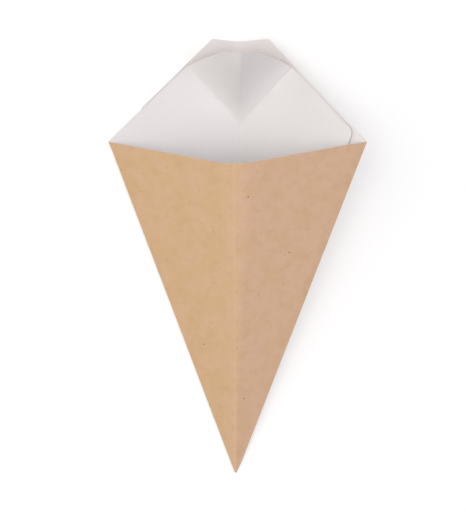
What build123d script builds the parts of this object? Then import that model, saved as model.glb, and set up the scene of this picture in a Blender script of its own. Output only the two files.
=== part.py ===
from build123d import *

import os
from math import acos, asin, cos, sin, tan

# Fry cone folded from one sheet of card and squeezed open, lying on its left back facet.
# Lengths are in millimetres. The sheet has a front panel, an inner back panel joined to it
# at the left fold and an outer back panel joined to it at the right fold. The back panels
# are glued to each other, apart from the dip pocket that is pushed forward out of the inner one.

# The sheet, laid flat
card = 0.4  # thickness of the card
panel_width = 155.0  # front panel, from corner to corner
fold_length = 190.0  # tip to corner, along the side folds
tip_cut = 2.0  # blunt end of the tip

# The two back panels, laid flat
shoulder_rise = 60.0  # corner to top edge, in height
top_width = 35.0  # top edge of the outer panel
top_corner = 1.2  # radius at both ends of the top edge
layer_step = 0.9  # the inner panel's shoulders lie this far inside the outer panel's
inner_gap = 9.5  # free edge of the inner panel to the right fold, at the shoulder
inner_corner = 4.5  # radius where that edge meets the shoulder
outer_gap = 22.5  # free edge of the outer panel to the left fold, at the shoulder
outer_corner = 8.0  # radius where that edge meets the shoulder

# The dip pocket's creases and lip, laid flat
pocket_width = 65.0  # between the top ends of the two slanting creases
pocket_depth = 29.0  # from those ends down to the point where the creases meet
lip_width = 25.5  # between the two corners of the lip
lip_rise = 7.0  # lip's corners to its peak on the centre crease
lip_corner = 2.0  # radius at the lip's corners

# The folds
mouth_depth = 75.0  # front crease to back crease, level with the rim
fold_bend = 0.5  # outside radius of the side folds, in thicknesses of the card
crease_bend = 1.0  # outside radius of the front and back creases, in thicknesses of the card
fold_margin = 4.0  # panels are drawn this far past a fold, then trimmed to it

# Angles that follow from the sheet and from how far the mouth is open
facet_angle = asin(panel_width / 2 / fold_length)
rim_height = fold_length * cos(facet_angle)
crease_lean = asin(mouth_depth / 2 / rim_height)
fold_lean = acos(cos(facet_angle) / cos(crease_lean))
fold_angle = 2 * asin(sin(crease_lean) / sin(facet_angle))

# Directions from the tip, with the cone standing up and its front facing -Y
cone_axis = Vector(0, 0, 1)
right_fold = Vector(sin(fold_lean), 0, cos(fold_lean))
left_fold = Vector(-sin(fold_lean), 0, cos(fold_lean))
front_crease = Vector(0, -sin(crease_lean), cos(crease_lean))
back_crease = Vector(0, sin(crease_lean), cos(crease_lean))


def facet_plane(crease, fold, side):
    """Plane of a flat facet: x to the right, y up its crease and z towards the front."""
    across = (fold - crease * fold.dot(crease)) * side
    return Plane(Vector(0, 0, 0), x_dir=across, z_dir=across.cross(crease))


def crossing(start, along, other, direction):
    """Point where two lines of the flat sheet cross."""
    return start + along * ((other - start).cross(direction).Z / along.cross(direction).Z)


# Points of a right half panel on the flat sheet: x out from the crease, y up from the tip
tip = Vector(0, 0)
fold_line = Vector(sin(facet_angle), cos(facet_angle))
fold_side = Vector(cos(facet_angle), -sin(facet_angle))
corner = fold_line * fold_length
top_end = Vector(top_width / 2, rim_height + shoulder_rise)
shoulder_line = (top_end - corner).normalized()
shoulder_inset = Vector(-shoulder_line.Y, shoulder_line.X) * layer_step
past_fold = fold_side * fold_margin
past_crease = Vector(-fold_margin, 0)

inner_shoulder = corner + shoulder_inset
inner_fold_end = crossing(inner_shoulder, shoulder_line, tip, fold_line)
inner_free_end = crossing(inner_shoulder, shoulder_line, -fold_side * inner_gap, fold_line)
outer_free_end = crossing(corner, shoulder_line, -fold_side * outer_gap, fold_line)
pocket_end = crossing(inner_shoulder, shoulder_line, Vector(pocket_width / 2, 0), Vector(0, 1))
pocket_point = Vector(0, pocket_end.Y - pocket_depth)
lip_end = crossing(inner_shoulder, shoulder_line, Vector(lip_width / 2, 0), Vector(0, 1))
lip_peak = Vector(0, lip_end.Y + lip_rise)
rim_centre = Vector(0, rim_height)

# The right fold turns round the outside of the inner panel, so it lies a little further out
fold_out_front = fold_side * (card / sin(fold_angle))
fold_out_back = fold_side * (card / tan(fold_angle))
outer_fold_end = crossing(corner, shoulder_line, fold_out_back, fold_line)
rim_right_end = outer_fold_end - fold_out_back + fold_out_front


def front_outline(rim_end):
    """Half of the front panel, under the rim that ends at rim_end on the side fold."""
    rim_line = rim_end - rim_centre
    rim_out = crossing(rim_centre, rim_line, past_fold, fold_line)
    rim_in = crossing(rim_centre, rim_line, past_crease, Vector(0, 1))
    return [(past_crease, 0), (past_fold, 0), (rim_out, 0), (rim_in, 0)]


def back_outline(side_start, side_end, side_radius, top_points):
    """Half of a back panel, from its side edge over the shoulder to the crease."""
    top_centre = top_points[-1][0]
    outline = [(past_crease, 0), (side_start, 0), (side_end, side_radius)]
    return outline + top_points + [(top_centre + past_crease, 0)]


lip = [(lip_end, lip_corner), (lip_peak, 0)]
top_edge = [(top_end, top_corner), (Vector(0, top_end.Y), 0)]
inner_folded = crossing(inner_shoulder, shoulder_line, past_fold, fold_line)
outer_folded = crossing(corner, shoulder_line, past_fold, fold_line)

front_left_outline = front_outline(inner_fold_end)
front_right_outline = front_outline(rim_right_end)
inner_left_outline = back_outline(past_fold, inner_folded, 0, lip)
inner_right_outline = back_outline(tip, inner_free_end, inner_corner, lip)
outer_left_outline = back_outline(tip, outer_free_end, outer_corner, top_edge)
outer_right_outline = back_outline(past_fold, outer_folded, 0, top_edge)

# Planes of the facets. The back planes lie between the two glued layers.
front_left = facet_plane(front_crease, left_fold, -1)
front_right = facet_plane(front_crease, right_fold, 1)
back_left = facet_plane(back_crease, left_fold, -1)
back_right = facet_plane(back_crease, right_fold, 1)

# The pocket's facets mirror the back facets in the plane through its three crease ends
pocket_left_end = back_left.from_local_coords(Vector(-pocket_end.X, pocket_end.Y))
pocket_right_end = back_right.from_local_coords(pocket_end)
pocket_base = back_right.from_local_coords(pocket_point)
pocket_sides = (pocket_right_end - pocket_base, pocket_left_end - pocket_base)
pocket_front = pocket_sides[1].cross(pocket_sides[0]).normalized()


def pocket_facet(facet):
    """Plane of a pocket facet, mirrored from a back facet and still facing the front."""
    turned = [d - pocket_front * (2 * d.dot(pocket_front)) for d in (facet.x_dir, facet.z_dir)]
    shift = pocket_front * (2 * pocket_base.dot(pocket_front))
    return Plane(facet.origin + shift, x_dir=turned[0], z_dir=-turned[1])


# Mitre planes of the folds, each facing the side that is kept
left_half = Plane(Vector(0, 0, 0), z_dir=(-1, 0, 0))
right_half = Plane(Vector(0, 0, 0), z_dir=(1, 0, 0))
before_left_fold = Plane(Vector(0, 0, 0), z_dir=(0, -1, 0))
behind_left_fold = Plane(Vector(0, 0, 0), z_dir=(0, 1, 0))
right_fold_shift = Vector(0, -card / 2 / back_right.z_dir.Y, 0)
before_right_fold = Plane(right_fold_shift, z_dir=(0, -1, 0))
behind_right_fold = Plane(right_fold_shift, z_dir=(0, 1, 0))
below_left_crease = Plane(pocket_base, z_dir=pocket_sides[1].cross(pocket_front))
below_right_crease = Plane(pocket_base, z_dir=pocket_front.cross(pocket_sides[0]))
above_left_crease = Plane(pocket_base, z_dir=-below_left_crease.z_dir)
above_right_crease = Plane(pocket_base, z_dir=-below_right_crease.z_dir)


def panel(facet, side, outline, thickness, mitres):
    """One flat panel of card: its half outline on its facet, trimmed to its folds."""
    points = [(side * point.X, point.Y) for point, radius in outline]
    radii = [radius for point, radius in outline]
    with BuildPart() as sheet:
        with BuildSketch(facet):
            with BuildLine():
                FilletPolyline(*points, radius=radii, close=True)
            make_face()
        extrude(amount=thickness)
        for mitre in mitres:
            split(bisect_by=mitre, keep=Keep.TOP)
    return sheet.part


panels = [
    panel(front_left, -1, front_left_outline, -card, [left_half, before_left_fold]),
    panel(front_right, 1, front_right_outline, -card, [right_half, before_right_fold]),
    panel(back_left, -1, inner_left_outline, card, [left_half, behind_left_fold, below_left_crease]),
    panel(back_right, 1, inner_right_outline, card, [right_half, below_right_crease]),
    panel(pocket_facet(back_left), -1, inner_left_outline, card, [left_half, above_left_crease]),
    panel(pocket_facet(back_right), 1, inner_right_outline, card, [right_half, above_right_crease]),
    panel(back_left, -1, outer_left_outline, -card, [left_half]),
    panel(back_right, 1, outer_right_outline, -card, [right_half, behind_right_fold]),
]

# The four folds that run up from the tip, each with the direction that it faces
folds = [
    (left_fold, Vector(-cos(fold_lean), 0, -sin(fold_lean)), fold_bend),
    (right_fold, Vector(cos(fold_lean), 0, -sin(fold_lean)), fold_bend),
    (front_crease, Vector(0, -cos(crease_lean), -sin(crease_lean)), crease_bend),
    (back_crease, Vector(0, cos(crease_lean), -sin(crease_lean)), crease_bend),
]

# The folded sheet, standing on its tip
with BuildPart() as folded:
    add(panels)
    split(bisect_by=Plane.XY.offset(tip_cut), keep=Keep.TOP)
    for along, outward, bend in folds:
        fold_edges = edges().filter_by(Axis((0, 0, 0), along))
        fillet(fold_edges.sort_by(Axis((0, 0, 0), outward))[-1], radius=bend * card)

# The table under the left back facet, with the cone's axis along +Y
table = Plane(back_left.z_dir * -card, x_dir=cone_axis.cross(back_left.z_dir), z_dir=back_left.z_dir)
lying_box = table.to_local_coords(folded.part).bounding_box()
under_centre = Vector(lying_box.center().X, lying_box.center().Y, 0)
table = Plane(table.from_local_coords(under_centre), x_dir=table.x_dir, z_dir=table.z_dir)

with BuildPart() as fry_cone:
    with Locations(table.location.inverse()):
        add(folded.part)
fry_cone.part.label = "fry_cone"

os.makedirs("parts", exist_ok=True)
export_step(fry_cone.part, "parts/fry_cone.step")
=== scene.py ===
# %% [markdown]
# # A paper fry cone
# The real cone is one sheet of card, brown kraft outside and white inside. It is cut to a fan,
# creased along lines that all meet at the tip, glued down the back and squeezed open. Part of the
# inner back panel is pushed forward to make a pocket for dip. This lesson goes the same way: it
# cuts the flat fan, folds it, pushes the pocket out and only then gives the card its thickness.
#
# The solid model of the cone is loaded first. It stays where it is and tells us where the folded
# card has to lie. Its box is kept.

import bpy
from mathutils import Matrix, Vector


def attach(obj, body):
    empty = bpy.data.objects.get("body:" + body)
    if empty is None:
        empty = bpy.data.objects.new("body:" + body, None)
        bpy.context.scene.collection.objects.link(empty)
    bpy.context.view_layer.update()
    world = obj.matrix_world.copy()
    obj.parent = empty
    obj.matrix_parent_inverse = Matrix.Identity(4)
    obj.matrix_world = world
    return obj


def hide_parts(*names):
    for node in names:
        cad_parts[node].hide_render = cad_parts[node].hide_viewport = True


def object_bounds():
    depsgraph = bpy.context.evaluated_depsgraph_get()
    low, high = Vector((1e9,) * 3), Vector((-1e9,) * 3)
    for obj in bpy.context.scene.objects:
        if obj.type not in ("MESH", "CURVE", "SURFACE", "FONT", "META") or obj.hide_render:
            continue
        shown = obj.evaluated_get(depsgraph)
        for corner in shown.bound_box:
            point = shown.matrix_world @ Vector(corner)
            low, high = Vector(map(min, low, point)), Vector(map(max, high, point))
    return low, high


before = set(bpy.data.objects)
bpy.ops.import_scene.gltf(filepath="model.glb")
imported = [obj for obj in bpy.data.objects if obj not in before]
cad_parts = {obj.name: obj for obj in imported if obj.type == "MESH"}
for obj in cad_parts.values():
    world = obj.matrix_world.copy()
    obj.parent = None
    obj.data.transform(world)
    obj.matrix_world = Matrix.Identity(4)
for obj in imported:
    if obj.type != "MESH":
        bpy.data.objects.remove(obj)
solid_low, solid_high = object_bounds()
print("solid model, lowest corner", solid_low, "highest corner", solid_high)

# %% [markdown]
# ## Sizes of the flat sheet
# Blender works in metres, and a cone is easier to think of in millimetres, so every size is
# written as a number times `mm`. Only the sizes that a maker would choose are written down. The
# angles between the creases and how far each one folds follow from them: four equal facets meet at
# the tip, so once the mouth is a certain depth, all the fold angles are settled.

# %% Sizes and fold angles
from math import acos, asin, atan2, cos, degrees, radians, sin

mm = 0.001
card = 0.4 * mm
panel_width = 155 * mm
fold_length = 190 * mm
mouth_depth = 75 * mm

facet_angle = asin(panel_width / 2 / fold_length)
rim_height = fold_length * cos(facet_angle)
crease_lean = asin(mouth_depth / 2 / rim_height)
fold_lean = acos(cos(facet_angle) / cos(crease_lean))
crease_turn = radians(180) - 2 * asin(sin(fold_lean) / sin(facet_angle))
side_turn = radians(180) - 2 * asin(sin(crease_lean) / sin(facet_angle))
print("each facet spans", round(degrees(facet_angle), 2), "degrees of the flat sheet")
print("creases turn", round(degrees(crease_turn), 1), "and side folds", round(degrees(side_turn), 1))

# %% [markdown]
# ## Picking and turning
# Two things happen again and again in this lesson: some vertices are picked, and what is picked is
# turned about a line. In code a selection is a row of true and false, one for each vertex, and it is
# written while the mesh is out of edit mode. The rotate tool has no view to take its axis and centre
# from, so both are given to it.

# %% Tools for picking and turning
import bpy
import numpy as np
from mathutils import Vector


def places(piece):
    """The places of a mesh's vertices, one row each."""
    numbers = np.empty(len(piece.data.vertices) * 3)
    piece.data.vertices.foreach_get("co", numbers)
    return numbers.reshape(-1, 3)


def pick(piece, chosen):
    """Selects the vertices whose entry in chosen is true, and stays in edit mode."""
    bpy.ops.object.mode_set(mode="EDIT")
    bpy.ops.mesh.select_mode(type="VERT")
    bpy.ops.mesh.select_all(action="DESELECT")
    bpy.ops.object.mode_set(mode="OBJECT")
    piece.data.vertices.foreach_set("select", np.asarray(chosen, bool))
    bpy.ops.object.mode_set(mode="EDIT")


def turn(angle, axis):
    """Turns what is selected about an axis through the tip, by the right-hand rule."""
    side = axis.orthogonal().normalized()
    bpy.ops.transform.rotate(
        value=angle,
        orient_axis="Z",
        orient_type="GLOBAL",
        orient_matrix=(side, axis.cross(side), axis),
        orient_matrix_type="GLOBAL",
        constraint_axis=(False, False, True),
        center_override=(0, 0, 0),
    )


# %% [markdown]
# ## A fan of card
# Every fold runs out from the tip, so a mesh made of spokes and rings has an edge wherever the card
# has to fold. A plane would need all those spokes cut into it. It is quicker to keep one edge of a
# plane as a spoke, divide it, and spin it round the tip. Twelve steps to a facet put a spoke on
# every crease. The end of the spoke is pulled in first, so that the tip is almost a point.

# %% Spin a spoke into a fan
ring_gap = 5 * mm
rings = 49
first_ring = 2 * mm
tip_end = 0.8 * mm
facet_count = 6
spokes_per_facet = 12

spoke = rings * ring_gap
spin_steps = facet_count * spokes_per_facet
fan_span = facet_count * facet_angle
bpy.ops.object.select_all(action="DESELECT")
bpy.ops.mesh.primitive_plane_add(size=spoke, location=(spoke / 2, first_ring + spoke / 2, 0))
cone = bpy.context.object
cone.name = "folded_card"
bpy.ops.object.transform_apply(location=True)
pick(cone, places(cone)[:, 0] > spoke / 2)
bpy.ops.mesh.delete(type="VERT")
bpy.ops.mesh.select_all(action="SELECT")
bpy.ops.mesh.subdivide(number_cuts=rings - 1)
bpy.ops.object.mode_set(mode="OBJECT")
pick(cone, places(cone)[:, 1] < first_ring + ring_gap / 2)
bpy.ops.transform.translate(value=(0, tip_end - first_ring, 0))
bpy.ops.mesh.select_all(action="SELECT")
turn(fan_span / 2, Vector((0, 0, 1)))
bpy.ops.mesh.spin(steps=spin_steps, angle=fan_span, center=(0, 0, 0), axis=(0, 0, 1))
bpy.ops.object.mode_set(mode="OBJECT")
print("fan of", len(cone.data.polygons), "faces, facing", cone.data.polygons[0].normal)

# %% [markdown]
# ## Places on the flat sheet
# Seen from the kraft side, the facets of the flat sheet are, from left to right: inner back right,
# inner back left, front left, front right, outer back right and outer back left. Each half panel is
# drawn as a designer would draw it, with `u` out from the panel's crease and `v` up from the tip, and
# `on_sheet` puts such a point on the fan.

# %% Facets and their creases
facets = {
    "inner right": (-3, -2),
    "inner left": (-2, -1),
    "front left": (-1, 0),
    "front right": (0, 1),
    "outer right": (1, 2),
    "outer left": (2, 3),
}
creases = {"front": 0, "inner": -2 * facet_angle, "outer": 2 * facet_angle}


def ray(angle):
    """Direction from the tip on the flat sheet, turned clockwise from the front crease."""
    return Vector((sin(angle), cos(angle), 0))


def on_sheet(facet, u, v):
    """Point of the flat sheet, from its place on one half of a panel."""
    crease = creases[facet.split()[0]]
    middle = (facets[facet][0] + facets[facet][1]) / 2 * facet_angle
    side = 1 if middle > crease else -1
    return ray(crease) * v + ray(crease + side * radians(90)) * u


print("facets from left to right:", ", ".join(facets))

# %% [markdown]
# ## Cutting with a bisect
# A bisect with one side cleared is a straight cut of the scissors. It only cuts the faces that are
# selected, so each facet is picked and cut by itself, after it is split from its neighbours. A
# rounded corner is a few more cuts along its arc.

# %% Tools for cutting one facet
corner_cuts = 5
snap = 0.001 * mm


def pick_facet(facet):
    """Selects the faces of one facet while the sheet is flat."""
    first, last = [edge * facet_angle for edge in facets[facet]]
    bpy.ops.object.mode_set(mode="EDIT")
    bpy.ops.mesh.select_mode(type="FACE")
    bpy.ops.mesh.select_all(action="DESELECT")
    bpy.ops.object.mode_set(mode="OBJECT")
    for face in cone.data.polygons:
        face.select = first < atan2(face.center.x, face.center.y) < last
    bpy.ops.object.mode_set(mode="EDIT")


def cut(facet, point, outward):
    """Cuts a facet along the line through point and clears the side that outward shows."""
    pick_facet(facet)
    bpy.ops.mesh.bisect(plane_co=point, plane_no=outward, clear_outer=True, threshold=snap)


def edge_normal(facet, start, end):
    """Which way an edge of a facet faces, away from the tip or from the facet's crease."""
    along = on_sheet(facet, *end) - on_sheet(facet, *start)
    outward = along.cross(Vector((0, 0, 1))).normalized()
    inside = on_sheet(facet, 1 * mm, rim_height / 2)
    return outward if (on_sheet(facet, *start) - inside).dot(outward) > 0 else -outward


def cut_outline(facet, points, radii):
    """Cuts a facet along a line of points and rounds the corners between its straight edges."""
    edges = list(zip(points[:-1], points[1:]))
    normals = [edge_normal(facet, start, end) for start, end in edges]
    pick_facet(facet)
    bpy.ops.mesh.split()
    for (start, end), outward in zip(edges, normals):
        cut(facet, on_sheet(facet, *start), outward)
    for corner, radius, before, after in zip(points[1:-1], radii, normals[:-1], normals[1:]):
        centre = on_sheet(facet, *corner) - (before + after) * (radius / (1 + before.dot(after)))
        for step in range(corner_cuts):
            outward = before.slerp(after, (step + 0.5) / corner_cuts)
            cut(facet, centre + outward * radius, outward)


# %% [markdown]
# ## The outline of the panels
# The outline's points follow from the sizes of the two back panels and of the pocket. The inner
# panel's shoulders lie a little inside the outer panel's, and both panels have a free edge that runs
# down to the tip. Most of the points are where two straight lines of the drawing cross.

# %% Points of the outline
shoulder_rise = 60 * mm
top_width = 35 * mm
layer_step = 0.9 * mm
inner_gap, outer_gap = 9.5 * mm, 22.5 * mm
pocket_width, pocket_depth = 65 * mm, 29 * mm
lip_width, lip_rise = 25.5 * mm, 8.0 * mm


def crossing(start, along, other, direction):
    """Point where two lines of a half panel cross."""
    start, along, other, direction = [Vector(pair) for pair in (start, along, other, direction)]
    return tuple(start + along * ((other - start).cross(direction) / along.cross(direction)))


def beside_fold(gap):
    """A point at that distance inside the side fold."""
    return (-cos(facet_angle) * gap, sin(facet_angle) * gap)


tip = (0, 0)
fold_line = (sin(facet_angle), cos(facet_angle))
corner = (panel_width / 2, rim_height)
top_end = (top_width / 2, rim_height + shoulder_rise)
shoulder = tuple((Vector(top_end) - Vector(corner)).normalized())
inner_start = tuple(Vector(corner) + Vector((-shoulder[1], shoulder[0])) * layer_step)
inner_fold_end = crossing(inner_start, shoulder, tip, fold_line)
inner_free_end = crossing(inner_start, shoulder, beside_fold(inner_gap), fold_line)
outer_free_end = crossing(corner, shoulder, beside_fold(outer_gap), fold_line)
pocket_end = crossing(inner_start, shoulder, (pocket_width / 2, 0), (0, 1))
pocket_point = (0, pocket_end[1] - pocket_depth)
lip_end = crossing(inner_start, shoulder, (lip_width / 2, 0), (0, 1))
lip_peak = (0, lip_end[1] + lip_rise)
ridge_length = lip_peak[1] - pocket_point[1]
print("the pocket's ridge is", round(ridge_length / mm, 1), "mm long on the flat sheet")

# %% [markdown]
# Each facet is now cut along its own stretch of the outline. The front rim dips a little at its
# crease, as squeezed card does. Merging the vertices that lie on each other then makes the fan one
# sheet again.

# %% Cut the panels to shape
rim_dip = 1.4 * mm
top_corner, lip_corner = 1.2 * mm, 2 * mm
inner_corner, outer_corner = 4.5 * mm, 8 * mm
merge_gap = 0.02 * mm

rim_middle = (0, rim_height - rim_dip)
top_middle = (0, top_end[1])
cut_outline("front left", [inner_fold_end, rim_middle], [])
cut_outline("front right", [corner, rim_middle], [])
cut_outline("inner left", [inner_fold_end, lip_end, lip_peak], [lip_corner])
cut_outline("inner right", [tip, inner_free_end, lip_end, lip_peak], [inner_corner, lip_corner])
cut_outline("outer right", [corner, top_end, top_middle], [top_corner])
cut_outline("outer left", [tip, outer_free_end, top_end, top_middle], [outer_corner, top_corner])
bpy.ops.mesh.select_all(action="SELECT")
bpy.ops.mesh.remove_doubles(threshold=merge_gap)
bpy.ops.object.mode_set(mode="OBJECT")
print("cut sheet has", len(cone.data.polygons), "faces")

# %% [markdown]
# ## The pocket's creases
# Two slanting creases meet in a point on the inner panel's centre line. They cross the spokes, so
# each one is cut in with a bisect that clears nothing. Lines beside each crease are cut in as well:
# the near ones keep its bend narrow, the far ones let the card curve towards it. The left crease of
# the real pocket is soft, so its near lines lie further apart.

# %% Score the pocket
crease_strips = {"inner left": 2.4 * mm, "inner right": 0.6 * mm}
curve_lines = (4.5 * mm, 9 * mm)


def score(facet, start, end, offset):
    """Cuts a line into a facet, at a distance to one side of the line from start to end."""
    outward = edge_normal(facet, start, end)
    pick_facet(facet)
    beside = on_sheet(facet, *start) + outward * offset
    bpy.ops.mesh.bisect(plane_co=beside, plane_no=outward, threshold=snap)


for facet, strip in crease_strips.items():
    score(facet, pocket_end, pocket_point, 0)
    for offset in (strip, *curve_lines):
        score(facet, pocket_end, pocket_point, offset)
        score(facet, pocket_end, pocket_point, -offset)
bpy.ops.mesh.select_all(action="SELECT")
bpy.ops.mesh.remove_doubles(threshold=merge_gap)
bpy.ops.object.mode_set(mode="OBJECT")
print("scored sheet has", len(cone.data.vertices), "vertices")

# %% [markdown]
# The front crease is soft too, and bends the card over a wide strip. A bend can only be as wide as
# the faces beside the crease, so the spokes next to it are dissolved to make those faces wider.

# %% Widen the faces beside the front crease
spoke_angle = facet_angle / spokes_per_facet
nearly = 0.02 * radians(1)

flat_angle = np.arctan2(places(cone)[:, 0], places(cone)[:, 1])
pick(cone, np.abs(np.abs(flat_angle) - spoke_angle) < nearly)
bpy.ops.mesh.select_mode(type="EDGE")
bpy.ops.mesh.dissolve_edges(use_verts=True)
bpy.ops.object.mode_set(mode="OBJECT")
print("sheet has", len(cone.data.vertices), "vertices left")

# %% [markdown]
# ## Remembering the flat sheet
# Paper fibres run with the sheet, not with the room, so the flat places are kept in a UV map before
# anything is folded: half a metre of sheet fills the UV square. The same flat places say which part
# of the sheet a vertex belongs to, whatever the folds do to it, so they are kept as numbers too.

# %% Keep the flat places
sheet_span = 0.5

flat = places(cone)
uv_layer = cone.data.uv_layers.active or cone.data.uv_layers.new(name="flat_sheet")
uv_layer.name = "flat_sheet"
for loop, uv in zip(cone.data.loops, uv_layer.uv):
    x, y, z = flat[loop.vertex_index]
    uv.vector = (0.5 + x / sheet_span, y / sheet_span)
fan_angle = np.arctan2(flat[:, 0], flat[:, 1])
from_tip = np.hypot(flat[:, 0], flat[:, 1])
print("flat blank", flat.max(axis=0) / mm - flat.min(axis=0) / mm, "mm")

# %% [markdown]
# On the inner panel, `across` is the distance from its centre line and `above` the height over the
# pocket's point. Together they give `past_crease`, the distance from the nearer slanting crease,
# positive on the pocket's side.

# %% Measures on the inner panel
on_line = 0.05 * mm

on_inner = fan_angle < -facet_angle - nearly
on_left = fan_angle > creases["inner"]
across = np.abs(np.sin(fan_angle - creases["inner"])) * from_tip
above = np.cos(fan_angle - creases["inner"]) * from_tip - pocket_point[1]
crease_length = np.hypot(pocket_width / 2, pocket_depth)
past_crease = (above * pocket_width / 2 - across * pocket_depth) / crease_length
in_pocket = on_inner & (past_crease > on_line)
print("inner panel has", int(on_inner.sum()), "vertices,", int(in_pocket.sum()), "of them in the pocket")

# %% [markdown]
# The creases become vertex groups, which the bends will use later. The pocket's point is left out of
# them, because four creases meet there. One more group says how much thinner the tip is pressed.

# %% Groups for the creases
point_clear = 4 * mm
tip_thinning = 0.7

clear_of_point = np.hypot(across, above) > point_clear
on_slant = on_inner & clear_of_point & (np.abs(past_crease) < on_line)
on_outer_centre = np.abs(fan_angle - creases["outer"]) < nearly
tip_ring = from_tip < first_ring
groups = {
    "left pocket crease": on_slant & on_left,
    "right pocket crease": on_slant & ~on_left,
    "pocket ridge": on_inner & clear_of_point & (across < on_line) & (above > 0),
    "front crease": np.abs(fan_angle) < nearly,
    "outer crease": on_outer_centre & (from_tip < pocket_point[1]),
    "outer crease top": on_outer_centre & (from_tip > pocket_point[1] + ring_gap),
    "side folds": np.abs(np.abs(fan_angle) - facet_angle) < nearly,
}


def weigh(name, weights):
    """Makes a vertex group from one weight per vertex."""
    group = cone.vertex_groups.new(name=name)
    for index in np.flatnonzero(weights):
        group.add([int(index)], float(weights[index]), "REPLACE")


for name, members in groups.items():
    weigh(name, members)
weigh("pressed tip", tip_thinning * tip_ring)
print("groups", {name: int(members.sum()) for name, members in groups.items()})

# %% [markdown]
# ## Folding
# A fold is a turn of everything beyond a crease, about that crease. Working from the outside of the
# fan inwards means that each crease is still flat when its turn comes, so its direction is simply
# its ray on the sheet. The front crease is shared: each half of the sheet turns back by half of it.

# %% Fold along the spokes
def fold(angle, amount, side):
    """Turns the sheet beyond one spoke backwards. Side is 1 for the right half, -1 for the left."""
    pick(cone, side * fan_angle > side * angle + nearly)
    turn(side * amount, ray(angle))


def folded_place(point):
    """Where a point of the flat sheet is now."""
    nearest = np.hypot(flat[:, 0] - point.x, flat[:, 1] - point.y).argmin()
    return cone.data.vertices[int(nearest)].co.copy()


for side in (1, -1):
    fold(side * 2 * facet_angle, crease_turn, side)
    fold(side * facet_angle, side_turn, side)
    fold(0, crease_turn / 2, side)
bpy.ops.object.mode_set(mode="OBJECT")
rim_ends = [folded_place(on_sheet(facet, *corner)) for facet in ("front left", "front right")]
print("the rim's two corners are", round((rim_ends[1] - rim_ends[0]).length / mm, 1), "mm apart")

# %% [markdown]
# ## Pushing the pocket out
# Where a fold is pushed through to the other side, each facet becomes its own mirror image in the
# plane of the creases that bound it. So the pocket is one scale by minus one across that plane. Its
# lip then leans a little to the right, as the real one does.

# %% Mirror the pocket and lean its lip
lip_lean = 2.6 * mm

left_end = folded_place(on_sheet("inner left", *pocket_end))
right_end = folded_place(on_sheet("inner right", *pocket_end))
base = folded_place(on_sheet("inner left", *pocket_point))
pocket_front = (left_end - base).cross(right_end - base).normalized()
pocket_front *= 1 if pocket_front.z > 0 else -1
side = pocket_front.orthogonal().normalized()
pick(cone, in_pocket)
bpy.ops.transform.resize(
    value=(1, 1, -1),
    orient_type="GLOBAL",
    orient_matrix=(side, pocket_front.cross(side), pocket_front),
    orient_matrix_type="GLOBAL",
    constraint_axis=(False, False, True),
    center_override=base,
)
bpy.ops.object.mode_set(mode="OBJECT")
forward = (places(cone) - np.array(base)) @ np.array(pocket_front)
reach = forward[in_pocket].max()
for index in np.flatnonzero(in_pocket):
    cone.data.vertices[int(index)].co.x += lip_lean * forward[index] / reach
print("pocket stands", round(reach / mm, 1), "mm forward of its creases")

# %% [markdown]
# ## Letting the card curve
# Real card is never quite flat between its creases. Beside the slanting creases the inner panel
# curves up towards the pocket. Such a curve is a weight on each vertex, as in weight painting, and a
# Displace modifier that moves the card along its normals. The kraft side is the outside, so a
# negative strength moves the card towards the white side.

# %% Curve the card beside the slanting creases
crease_lift, lift_reach = 0.65 * mm, 8 * mm


def curve(name, amounts):
    """Moves the card towards the white side by an amount for each vertex."""
    largest = amounts[np.abs(amounts).argmax()]
    weigh(name, amounts / largest)
    displace = cone.modifiers.new(name, "DISPLACE")
    displace.strength = -largest
    displace.mid_level = 0
    displace.vertex_group = name
    bpy.ops.object.modifier_apply(modifier=displace.name)
    print(name, "moves the card by up to", round(largest / mm, 2), "mm")


nearness = np.clip(1 - np.abs(past_crease) / lift_reach, 0, 1) * on_inner
curve("lifted creases", crease_lift * nearness**2)

# %% [markdown]
# The pocket's two facets are hollow, the left one more than the right. They also sag along the ridge,
# most of all in its lower part, so that the ridge fades out towards the pocket's point. Each share is
# nought on the lines that stay in place, and the factors 4 and 6.75 bring its largest value to 1.

# %% Hollow the pocket
left_hollow, right_hollow, ridge_hollow = 2.0 * mm, 1.4 * mm, 3.2 * mm
least_spread = 0.1 * mm

depth = np.where(in_pocket, past_crease, 0)
spread_out = np.maximum(across + depth, least_spread)
up_ridge = np.clip(above / ridge_length, 0, 1)
cupped = 4 * across * depth / spread_out**2 * np.hypot(across, above) / ridge_length
sagged = 6.75 * up_ridge * (1 - up_ridge) ** 2 * depth / spread_out
facet_hollow = np.where(on_left, left_hollow, right_hollow)
curve("hollow pocket", -facet_hollow * cupped - ridge_hollow * sagged)

# %% [markdown]
# The inner panel isn't glued right up to its free edge. The edge springs a little away from the layer
# behind it, most at the shoulder and less further down.

# %% Spring the free edge
edge_spring, spring_reach, spring_fade = 0.6 * mm, 26 * mm, 60 * mm

up_panel = above + pocket_point[1]
edge_angle = atan2(*inner_free_end)
from_edge = sin(edge_angle) * up_panel - cos(edge_angle) * across
free_side = on_inner & ~on_left & (past_crease < 0) & (up_panel > rim_height / 2)
sprung = np.clip(1 - from_edge / spring_reach, 0, 1) * free_side
curve("sprung edge", edge_spring * sprung**2 * np.clip(1 + above / spring_fade, 0, 1))

# %% [markdown]
# ## Room for the second layer
# So far the outer back panel lies exactly on the inner one. It is moved back by the card's thickness
# and a little air. The right fold goes round the outside of the inner panel, so it moves outwards
# along the front panel. Near the tip the layers are pressed together, so there they move less.

# %% Move the outer layer back
layer_gap = 0.25 * mm
tip_press = 0.3

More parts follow.
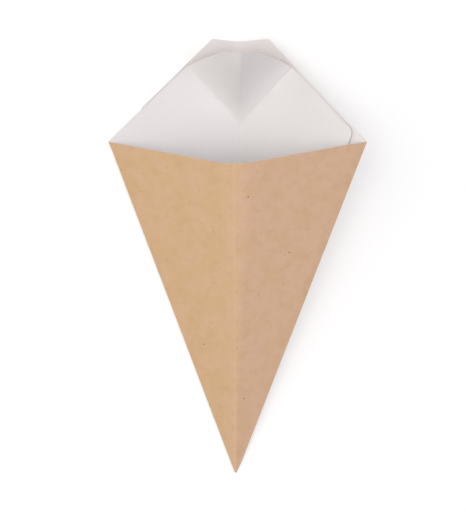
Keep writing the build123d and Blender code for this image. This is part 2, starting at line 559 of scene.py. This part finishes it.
outer_faces = fan_angle > facet_angle + nearly
right_fold = np.abs(fan_angle - facet_angle) <= nearly
back_normal = (folded_place(on_sheet("inner left", *inner_fold_end)) - base).cross(base).normalized()
back_normal *= 1 if back_normal.z < 0 else -1
layer_shift = Vector((0, 0, (card + layer_gap) / back_normal.z))
fold_end = folded_place(on_sheet("front right", *corner))
front_out = fold_end - folded_place(Vector((0, rim_height, 0)))
fold_ray = fold_end.normalized()
front_out = (front_out - fold_ray * front_out.dot(fold_ray)).normalized()
fold_shift = front_out * ((card + layer_gap) / sin(side_turn))
for chosen, shift in ((outer_faces, layer_shift), (right_fold, fold_shift)):
    pick(cone, chosen)
    bpy.ops.transform.translate(value=shift)
    bpy.ops.object.mode_set(mode="OBJECT")
    pick(cone, chosen & tip_ring)
    bpy.ops.transform.translate(value=shift * (tip_press - 1))
    bpy.ops.object.mode_set(mode="OBJECT")
    print("moved", int(chosen.sum()), "vertices by", round(shift.length / mm, 2), "mm")

# %% [markdown]
# ## Laying it down
# An open cone can't stand on its tip. It lies on its left back facet, with its axis along +Y. The
# whole sheet is turned by the object's own matrix, which is then applied, so that the finished
# object sits unturned at the origin and its place is in its mesh. The solid model's box says where.

# %% Turn the sheet onto its back facet
from mathutils import Matrix

axis = (Vector((0, 1, 0)) + base.normalized()).normalized()
up = -back_normal
ahead = (axis - up * axis.dot(up)).normalized()
right = ahead.cross(up)
cone.matrix_world = Matrix((right, ahead, up)).to_4x4()
bpy.ops.object.transform_apply(location=True, rotation=True)
low, high = places(cone).min(axis=0), places(cone).max(axis=0)
cone.location = (
    (solid_low.x + solid_high.x - low[0] - high[0]) / 2,
    solid_high.y - high[1],
    -low[2],
)
bpy.ops.object.transform_apply(location=True)
print("lying sheet reaches from", places(cone).min(axis=0) / mm, "to", places(cone).max(axis=0) / mm)

# %% [markdown]
# ## Soft creases
# Card never folds to a razor edge. A bevel whose width is a share of the faces beside it opens into
# a bend that is a few millimetres wide at the rim and narrows to the tip, as the front crease does.
# The pocket's ridge is bent more sharply. Where the two back panels lie together their centre lines
# stay close folds, so that the outer one doesn't come through the inner one. Each bend is written as
# its share in percent and its number of segments.

# %% Bend the creases
bends = {
    "left pocket crease": (80, 4),
    "right pocket crease": (80, 3),
    "pocket ridge": (16, 3),
    "front crease": (85, 10),
    "outer crease": (6, 2),
    "outer crease top": (80, 6),
}


def bevel_picked(share, segments):
    """Rounds the picked edges, by a share in percent of the faces beside them."""
    bpy.ops.mesh.bevel(offset_type="PERCENT", offset_pct=share, segments=segments, affect="EDGES")
    bpy.ops.object.mode_set(mode="OBJECT")


for name, (share, segments) in bends.items():
    bpy.ops.object.mode_set(mode="EDIT")
    bpy.ops.mesh.select_mode(type="VERT")
    bpy.ops.mesh.select_all(action="DESELECT")
    bpy.ops.object.vertex_group_set_active(group=name)
    bpy.ops.object.vertex_group_select()
    bevel_picked(share, segments)
print("bent sheet has", len(cone.data.polygons), "faces")

# %% [markdown]
# ## Thickness
# A Solidify modifier gives the sheet its thickness, from the kraft side inwards. Spinning and mirroring
# can turn faces inside out, so the normals are recalculated while the card is still a single sheet.
# Solidify's material offsets give the new inner side the lining and the new edges the colour of cut
# card, so the three material slots are added before it. The tip is pressed thinner by its own group.

# %% Give the card its thickness
kraft, lining, cut_edge = [bpy.data.materials.new(name) for name in ("kraft", "white lining", "cut edge")]
for material in (kraft, lining, cut_edge):
    material.use_nodes = True
    cone.data.materials.append(material)

bpy.ops.object.mode_set(mode="EDIT")
bpy.ops.mesh.select_all(action="SELECT")
bpy.ops.mesh.normals_make_consistent(inside=False)
bpy.ops.object.mode_set(mode="OBJECT")
thickness = cone.modifiers.new("card thickness", "SOLIDIFY")
thickness.thickness = card
thickness.offset = -1
thickness.use_even_offset = True
thickness.use_quality_normals = True
thickness.vertex_group = "pressed tip"
thickness.invert_vertex_group = True
thickness.material_offset = 1
thickness.material_offset_rim = 2
bpy.ops.object.modifier_apply(modifier=thickness.name)
print("solid card has", len(cone.data.polygons), "faces")

# %% [markdown]
# The side folds are pressed flat at the factory, so they stay sharp inside and are only just rounded
# outside. They are bevelled now, on the kraft side alone. Smooth shading comes last, with a limit on
# the angle, so that the bends look round and the cut edges stay crisp.

# %% Round the side folds
fold_share, fold_segments = 6, 4
crisp_angle = radians(35)

on_kraft = np.zeros(len(cone.data.vertices), bool)
for face in cone.data.polygons:
    if face.material_index == 0:
        on_kraft[list(face.vertices)] = True
side_group = cone.vertex_groups["side folds"].index
in_fold = [any(entry.group == side_group for entry in vertex.groups) for vertex in cone.data.vertices]
pick(cone, on_kraft & np.array(in_fold))
bevel_picked(fold_share, fold_segments)
bpy.ops.object.select_all(action="DESELECT")
cone.select_set(True)
bpy.ops.object.shade_smooth_by_angle(angle=crisp_angle)
print("finished card has", len(cone.data.polygons), "faces")

# %% [markdown]
# ## Building materials from nodes
# A material could be wired up by hand in the shader editor. In code, small helpers keep it readable:
# `add` makes a node and fills its sockets, and a socket that is given another node's output is linked
# to it. All patterns are drawn from the flat sheet's UV map, scaled so that one unit of texture is
# one millimetre of card, so they run across the folds as print on the sheet would.

# %% Helpers for nodes
def fill(material, socket, value):
    """Sets a socket to a value, or links it to a node's output."""
    if isinstance(value, bpy.types.NodeSocket):
        material.node_tree.links.new(value, socket)
    else:
        socket.default_value = value


def add(material, kind, **sockets):
    """Adds a node of that kind and fills its sockets with values or with other nodes' outputs."""
    node = material.node_tree.nodes.new("ShaderNode" + kind)
    for name, value in sockets.items():
        fill(material, node.inputs[name.replace("_", " ")], value)
    return node


def flat_sheet(material):
    """The flat sheet's UV map, as a place on the UV square."""
    uv = add(material, "UVMap")
    uv.uv_map = "flat_sheet"
    return uv.outputs["UV"]


def sheet_millimetres(material, stretch=(1, 1, 1), angle=0):
    """Places on the flat sheet, in millimetres, stretched and turned for a pattern."""
    scale = [sheet_span / mm * share for share in stretch]
    mapping = add(material, "Mapping", Vector=flat_sheet(material), Scale=scale, Rotation=(0, 0, angle))
    return mapping.outputs["Vector"]


# %% [markdown]
# Every finish here is put together from four things: soft noise, a value stretched to a new range, a
# step of arithmetic and a blend of two colours. Each of them gets a helper of its own.

# %% Helpers for patterns
def noise(material, sheet, per_mm, detail=2.0, roughness=0.5):
    """Soft random values between 0 and 1, with about per_mm blotches to the millimetre."""
    node = add(material, "TexNoise", Vector=sheet, Scale=per_mm, Detail=detail, Roughness=roughness)
    return node.outputs["Fac"]


def spread(material, value, low, high, start=0.0, end=1.0):
    """Stretches a value so that low becomes start and high becomes end, and holds it between them."""
    node = add(material, "MapRange", Value=value)
    for name, number in (("From Min", low), ("From Max", high), ("To Min", start), ("To Max", end)):
        node.inputs[name].default_value = number
    return node.outputs["Result"]


def calculate(material, operation, first, second):
    """One sum of a Math node."""
    node = add(material, "Math")
    node.operation = operation
    fill(material, node.inputs[0], first)
    fill(material, node.inputs[1], second)
    return node.outputs["Value"]


def blend(material, share, below, above):
    """Mixes two colours: below where share is 0, above where it is 1."""
    node = add(material, "Mix")
    node.data_type = "RGBA"
    fill(material, node.inputs["Factor"], share)
    fill(material, node.inputs[6], below)
    fill(material, node.inputs[7], above)
    return node.outputs[2]


# %% [markdown]
# ## Kraft
# Kraft card is pulp that was never bleached. Its hue drifts a little between yellow and pink in soft
# patches.
# On top of that the left half of the sheet is painted a little yellower and the right half a little
# pinker, a painted tint of warm light from the left and cool light from the right. Now and then there is
# a dark speck, and folding rubs the surface pale along the creases; that pale line is partly a painted
# highlight on each crease. The creases are rays from the tip, a facet's angle apart. A ping-pong of the
# angle on the sheet is nought on each of them, so multiplied by the distance from the tip it is the
# distance to the nearest crease, and one short chain of nodes finds all of them.

# %% Pulp, specks and creases
kraft_yellow = (0.518, 0.338, 0.191, 1)
kraft_pink = (0.552, 0.356, 0.242, 1)
# The sheet's left half is painted yellower and its right half pinker: a painted tint of warm light from
# the left and cool light from the right.
light_tint, light_tint_mm = 0.18, 8


def pulp_and_light_tint(material, sheet):
    """Two hues of kraft in soft patches, with the left half of the sheet painted a little yellower and
    the right half a little pinker, a painted tint of warm and cool lamps.
    """
    patches = noise(material, sheet, per_mm=0.09, detail=1)
    middle = sheet_span / mm / 2
    beside = add(material, "SeparateXYZ", Vector=sheet).outputs["X"]
    # Painted tint: each half of the sheet takes the colour of the lamp on its side.
    painted_tint = spread(material, beside, middle - light_tint_mm, middle + light_tint_mm, -light_tint, light_tint)
    pinkness = spread(material, calculate(material, "ADD", patches, painted_tint), 0.25, 0.75)
    return blend(material, pinkness, kraft_yellow, kraft_pink)


def specks(material, sheet, apart_mm, radius_mm, share):
    """1 on small round specks: one to a cell, in that share of the cells."""
    cells = add(material, "TexVoronoi", Vector=sheet, Scale=1 / apart_mm)
    cells.voronoi_dimensions = "2D"
    picked = add(material, "SeparateColor", Color=cells.outputs["Color"])
    kept = spread(material, picked.outputs["Red"], 1 - share, 1 - share * 0.7)
    radius = radius_mm / apart_mm
    dots = spread(material, cells.outputs["Distance"], radius / 2, radius, 1, 0)
    return calculate(material, "MULTIPLY", kept, dots)


def near_crease(material, width_mm):
    """1 on the folds of the sheet, falling to 0 at that distance from them."""
    parts = add(material, "SeparateXYZ", Vector=flat_sheet(material))
    beside = calculate(material, "SUBTRACT", parts.outputs["X"], 0.5)
    angle = calculate(material, "ARCTAN2", beside, parts.outputs["Y"])
    apart = calculate(material, "PINGPONG", angle, facet_angle / 2)
    place = add(material, "CombineXYZ", X=beside, Y=parts.outputs["Y"])
    length = add(material, "VectorMath", Vector=place.outputs["Vector"])
    length.operation = "LENGTH"
    distance = calculate(material, "MULTIPLY", apart, length.outputs["Value"])
    return spread(material, distance, 0, width_mm * mm / sheet_span, 1, 0)


# %% [markdown]
# Close up, the pulp has darker clouds a few millimetres across, small flecks, and short fibres that
# cross: two stretched noises, turned differently and multiplied. Each is blended in weakly, because
# kraft looks even from a little way off. The finish is matte, and a fine bump gives it tooth.

# %% Kraft side
kraft_dark = (0.393, 0.243, 0.138, 1)
kraft_speck = (0.200, 0.105, 0.060, 1)
# The pale crease colour is partly the pale of rubbed folds and partly a painted highlight along each
# crease.
kraft_worn_and_highlight = (0.608, 0.425, 0.286, 1)
cloud_share, fibre_share, fleck_share, faint_speck_share = 0.24, 0.12, 0.16, 0.45
worn_and_highlight_mm, worn_and_highlight_share = 1.2, 0.4


def make_kraft(material):
    """Unbleached card: two hues in soft patches with a painted tint of the lamps, clouds, crossing
    fibres, specks, and creases that are pale partly from rubbing and partly from a painted highlight.
    """
    sheet = sheet_millimetres(material)
    clouds = noise(material, sheet, per_mm=0.20, detail=3, roughness=0.6)
    flecks = noise(material, sheet, per_mm=0.6, detail=3, roughness=0.6)
    lengthways = sheet_millimetres(material, stretch=(0.25, 2.2, 1), angle=0.35)
    crossways = sheet_millimetres(material, stretch=(2.0, 0.3, 1), angle=0.15)
    grain = noise(material, lengthways, per_mm=0.8)
    cross_grain = noise(material, crossways, per_mm=0.8)
    fibres = calculate(material, "MULTIPLY", grain, cross_grain)
    cloudy = spread(material, clouds, 0.48, 0.75, 0, cloud_share)
    stringy = spread(material, fibres, 0.22, 0.42, 0, fibre_share)
    flecked = spread(material, flecks, 0.55, 0.8, 0, fleck_share)
    dark_specks = specks(material, sheet, apart_mm=26, radius_mm=0.55, share=0.3)
    soft_specks = specks(material, sheet, apart_mm=14, radius_mm=0.8, share=0.25)
    faint = calculate(material, "MULTIPLY", soft_specks, faint_speck_share)
    # Paler along the creases: partly rubbed wear, partly a painted highlight on the folds.
    wear_and_highlight_strength = spread(material, flecks, 0.35, 0.7, 0.05, worn_and_highlight_share)
    worn_and_highlight = calculate(material, "MULTIPLY", near_crease(material, worn_and_highlight_mm), wear_and_highlight_strength)
    colour = pulp_and_light_tint(material, sheet)
    colour = blend(material, calculate(material, "ADD", cloudy, stringy), colour, kraft_dark)
    colour = blend(material, flecked, colour, kraft_dark)
    colour = blend(material, faint, colour, kraft_dark)
    colour = blend(material, dark_specks, colour, kraft_speck)
    colour = blend(material, worn_and_highlight, colour, kraft_worn_and_highlight)
    shader = material.node_tree.nodes["Principled BSDF"]
    fill(material, shader.inputs["Base Color"], colour)
    fill(material, shader.inputs["Roughness"], spread(material, flecks, 0.2, 0.8, 0.78, 0.9))
    shader.inputs["Specular IOR Level"].default_value = 0.3
    tooth = calculate(material, "ADD", fibres, noise(material, sheet, per_mm=3.0))
    bump = add(material, "Bump", Height=tooth, Strength=0.25, Distance=0.05 * mm)
    fill(material, shader.inputs["Normal"], bump.outputs["Normal"])


make_kraft(kraft)
print("kraft has", len(kraft.node_tree.nodes), "nodes")

# %% [markdown]
# ## White lining and cut edges
# The inside is a smooth white lining. It is a little shinier than the kraft, with a cloudiness that
# only shows in raking light. A cut edge shows the middle of the card, a pale brown between the
# colours of the two sides, speckled with pulp.

# %% Lining and edge
lining_dull = (0.678, 0.645, 0.647, 1)
lining_bright = (0.716, 0.682, 0.684, 1)
edge_dark = (0.640, 0.555, 0.475, 1)
edge_light = (0.735, 0.670, 0.605, 1)


def make_lining(material):
    """Smooth white lining with a faint cloudiness and the weakest of bumps."""
    sheet = sheet_millimetres(material)
    clouds = noise(material, sheet, per_mm=0.05, detail=3)
    shader = material.node_tree.nodes["Principled BSDF"]
    fill(material, shader.inputs["Base Color"], blend(material, clouds, lining_dull, lining_bright))
    fill(material, shader.inputs["Roughness"], spread(material, clouds, 0.3, 0.7, 0.48, 0.6))
    shader.inputs["Specular IOR Level"].default_value = 0.35
    tooth = noise(material, sheet, per_mm=2.0, detail=3)
    bump = add(material, "Bump", Height=tooth, Strength=0.12, Distance=0.03 * mm)
    fill(material, shader.inputs["Normal"], bump.outputs["Normal"])


def make_cut_edge(material):
    """Raw edge of the card, speckled along its length."""
    speckle = noise(material, sheet_millimetres(material), per_mm=1.5, detail=3)
    shader = material.node_tree.nodes["Principled BSDF"]
    fill(material, shader.inputs["Base Color"], blend(material, speckle, edge_dark, edge_light))
    shader.inputs["Roughness"].default_value = 0.9


make_lining(lining)
make_cut_edge(cut_edge)
print("lining has", len(lining.node_tree.nodes), "nodes, cut edge", len(cut_edge.node_tree.nodes))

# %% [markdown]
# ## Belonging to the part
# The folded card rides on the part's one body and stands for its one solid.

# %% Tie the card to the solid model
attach(cone, "root")
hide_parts("fry_cone")
print(cone.name, "stands for the solid fry_cone")

# %% [markdown]
# ## Floor
# The cone lies on a plain white floor without gloss. One large plane is enough, because nothing but
# its colour and the cone's shadow is seen of it.

# %% Floor
floor_width = 12
floor_white = (0.96, 0.96, 0.96, 1)

bpy.ops.mesh.primitive_plane_add(size=floor_width)
floor = bpy.context.object
floor.name = "floor"
floor_paint = bpy.data.materials.new("floor paint")
floor_paint.use_nodes = True
floor_shader = floor_paint.node_tree.nodes["Principled BSDF"]
floor_shader.inputs["Base Color"].default_value = floor_white
floor_shader.inputs["Roughness"].default_value = 0.9
floor_shader.inputs["Specular IOR Level"].default_value = 0.0
floor.data.materials.append(floor_paint)
print("floor is", floor_width, "metres wide")

# %% [markdown]
# ## Light
# The light is soft and almost without shadow. A white surround lights everything a little. The key
# lamp stands behind the camera, so that its shadow falls where the camera hardly sees it, and two
# larger and weaker lamps, to the left and to the right, light the sides of the cone and draw a pale
# shadow beside it. Each lamp is written as its direction from the cone, its width in metres, its power
# in watts and its colour. The plain Standard view keeps the white of the floor white.

# %% Light
surround_strength = 0.40
aim = Vector((0, 0, 30)) * mm
lamp_distance = 1.7
lamps = {
    "key lamp": ((-0.463, -0.037, 0.886), 0.9, 14.4, (0.98, 1.0, 0.96)),
    "left lamp": ((-0.843, 0.010, 0.538), 1.4, 8.8, (1.0, 0.97, 0.95)),
    "right lamp": ((0.459, -0.091, 0.884), 1.4, 8.6, (0.93, 0.89, 1.0)),
}

world = bpy.data.worlds.new("studio")
world.use_nodes = True
world.node_tree.nodes["Background"].inputs["Color"].default_value = (1, 1, 1, 1)
world.node_tree.nodes["Background"].inputs["Strength"].default_value = surround_strength
bpy.context.scene.world = world
bpy.context.scene.view_settings.view_transform = "Standard"
for name, (direction, size, power, colour) in lamps.items():
    bpy.ops.object.light_add(type="AREA", location=aim + Vector(direction) * lamp_distance)
    lamp = bpy.context.object
    lamp.name = name
    lamp.data.shape = "DISK"
    lamp.data.size = size
    lamp.data.energy = power
    lamp.data.color = colour
    lamp.rotation_mode = "QUATERNION"
    lamp.rotation_quaternion = (aim - lamp.location).to_track_quat("-Z", "Y")
print("lamps", list(lamps))

# %% [markdown]
# ## Camera
# The camera looks down on the cone from its left, from almost a metre away and through a long lens,
# so that the two sides of the cone are seen with little perspective. It is aimed at the middle of the
# cone and then rolled about its own line of sight, until the tip points down the picture.

# %% Camera
from mathutils import Quaternion

camera_place = Vector((-439.23, -37.87, 858.77)) * mm
camera_aim = Vector((-6.25, -3.21, 30.0)) * mm
camera_roll = radians(81.083)
camera_lens = 126.56

bpy.ops.object.camera_add(location=camera_place)
camera = bpy.context.object
camera.data.sensor_width = 36
camera.data.lens = camera_lens
camera.rotation_mode = "QUATERNION"
aimed = (camera_aim - camera_place).to_track_quat("-Z", "Y")
camera.rotation_quaternion = aimed @ Quaternion((0, 0, 1), camera_roll)
bpy.context.scene.camera = camera
print("camera looks from", camera_place)
